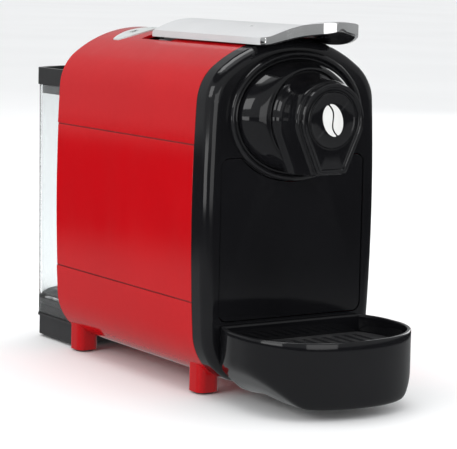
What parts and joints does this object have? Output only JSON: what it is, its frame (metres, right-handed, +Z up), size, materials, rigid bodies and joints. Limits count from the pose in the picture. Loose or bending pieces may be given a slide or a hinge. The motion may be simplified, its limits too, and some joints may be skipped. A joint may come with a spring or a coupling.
{
  "type": "pod coffee machine",
  "caption": "Compact pod coffee machine with an arched body, a lever over a round brew nose, a drip tray, a capsule drawer and a rear water tank.",
  "frame": {"origin": "on the ground under the middle of the whole machine", "axes": "+Z up, -Y towards the front with the nose and drip tray, +X to the right as seen from the front"},
  "size_m": [0.131, 0.354, 0.2388],
  "materials": {
    "red_shell": "high gloss",
    "black_gloss": "high gloss",
    "black_matte": "fine texture",
    "charcoal": "satin",
    "silver_satin": "satin",
    "grey_button": "satin",
    "clear_tank": "clear",
    "rubber": "matt",
    "steel": "brushed",
    "zinc_steel": "plated",
    "copper": "wound wire",
    "cast_alloy": "cast",
    "circuit": "coated",
    "white_plastic": "moulded",
    "grey_plastic": "moulded",
    "silicone": "translucent",
    "lens": "smoked"
  },
  "bodies": {
    "machine": {"top_shell": "red_shell", "base_shell": "red_shell", "side_panel_left": "red_shell", "side_panel_right": "red_shell", "rear_cover": "black_matte", "rubber_feet": "rubber", "cord_gland": "rubber", "shell_screws": "zinc_steel", "front_frame": "black_gloss", "nose_ring": "black_gloss", "nose_bell": "black_gloss", "nose_boss": "black_gloss", "nose_cap": "black_gloss", "nose_badge": "silver_satin", "coffee_spout": "steel", "guide_rails": "grey_plastic", "tank_base": "black_matte", "tank_coupling": "rubber", "lever_pin": "steel", "brew_frame": "grey_plastic", "outlet_plate": "steel", "outlet_duct": "grey_plastic", "lever_well": "black_matte", "indicator_lens": "lens", "button_guide": "grey_plastic", "switch_board": "circuit", "chassis": "grey_plastic", "pump_body": "white_plastic", "pump_coil": "copper", "pump_yoke": "zinc_steel", "pump_mounts": "rubber", "flow_meter_body": "white_plastic", "thermoblock": "cast_alloy", "heater_shelf": "zinc_steel", "thermostats": "steel", "control_board": "circuit", "suction_hose": "silicone", "feed_hose": "silicone", "pressure_hose": "silicone"},
    "lever": {"lever_shell": "silver_satin", "lever_insert": "black_gloss", "lever_arms": "grey_plastic"},
    "link": {"link_arms": "steel"},
    "carriage": {"capsule_cage": "white_plastic", "injector": "steel", "carriage_pin": "steel"},
    "button_left_body": {"button_left": "grey_button"},
    "button_right_body": {"button_right": "grey_button"},
    "drawer": {"drawer_front": "black_gloss", "capsule_bin": "black_matte"},
    "tray": {"drip_tray": "black_gloss"},
    "grid": {"drip_grid": "black_matte"},
    "tank": {"water_tank": "clear_tank", "valve_cage": "white_plastic", "valve_spring": "steel"},
    "lid": {"tank_lid": "charcoal"},
    "valve": {"tank_valve": "rubber"},
    "piston": {"pump_piston": "steel", "pump_spring": "steel"},
    "rotor": {"flow_rotor": "white_plastic"}
  },
  "joints": [
    {"name": "lever_hinge", "type": "hinge", "parent": "machine", "child": "lever", "pos_m": [0, 0.022, 0.217], "axis": [-1, 0, 0], "range_deg": [0, 72]},
    {"name": "carriage_slide", "type": "slide", "parent": "machine", "child": "carriage", "axis": [0, 1, 0], "range_m": [0, 0.0166]},
    {"name": "link_swing", "type": "hinge", "parent": "carriage", "child": "link", "pos_m": [0, -0.028, 0.173], "axis": [1, 0, 0], "range_deg": [0, 18.9]},
    {"name": "button_left_press", "type": "slide", "parent": "machine", "child": "button_left_body", "axis": [0, 0, -1], "range_m": [0, 0.0012], "stiffness_N_per_m": 600, "springref_m": -0.0006},
    {"name": "button_right_press", "type": "slide", "parent": "machine", "child": "button_right_body", "axis": [0, 0, -1], "range_m": [0, 0.0012], "stiffness_N_per_m": 600, "springref_m": -0.0006},
    {"name": "drawer_slide", "type": "slide", "parent": "machine", "child": "drawer", "axis": [0, -1, 0], "range_m": [0, 0.09]},
    {"name": "tray_slide", "type": "slide", "parent": "machine", "child": "tray", "axis": [0, -1, 0], "range_m": [0, 0.055]},
    {"name": "grid_lift", "type": "slide", "parent": "tray", "child": "grid", "axis": [0, 0, 1], "range_m": [0, 0.0125]},
    {"name": "tank_lift", "type": "slide", "parent": "machine", "child": "tank", "axis": [0, 0, 1], "range_m": [0, 0.16]},
    {"name": "lid_lift", "type": "slide", "parent": "tank", "child": "lid", "axis": [0, 0, 1], "range_m": [0, 0.05]},
    {"name": "valve_lift", "type": "slide", "parent": "tank", "child": "valve", "axis": [0, 0, 1], "range_m": [0, 0.0035], "stiffness_N_per_m": 120, "springref_m": -0.001, "deforming": ["valve_spring"]},
    {"name": "piston_stroke", "type": "slide", "parent": "machine", "child": "piston", "axis": [0, 1, 0], "range_m": [-0.003, 0.005], "stiffness_N_per_m": 400},
    {"name": "rotor_spin", "type": "hinge", "parent": "machine", "child": "rotor", "pos_m": [-0.02, 0.04, 0.025], "axis": [0, 0, 1], "continuous": true}
  ],
  "couplings": [
    {"joint": "carriage_slide", "follows": "lever_hinge", "m_per_rad": 0.01313},
    {"joint": "link_swing", "follows": "lever_hinge", "ratio": 0.26111}
  ]
}
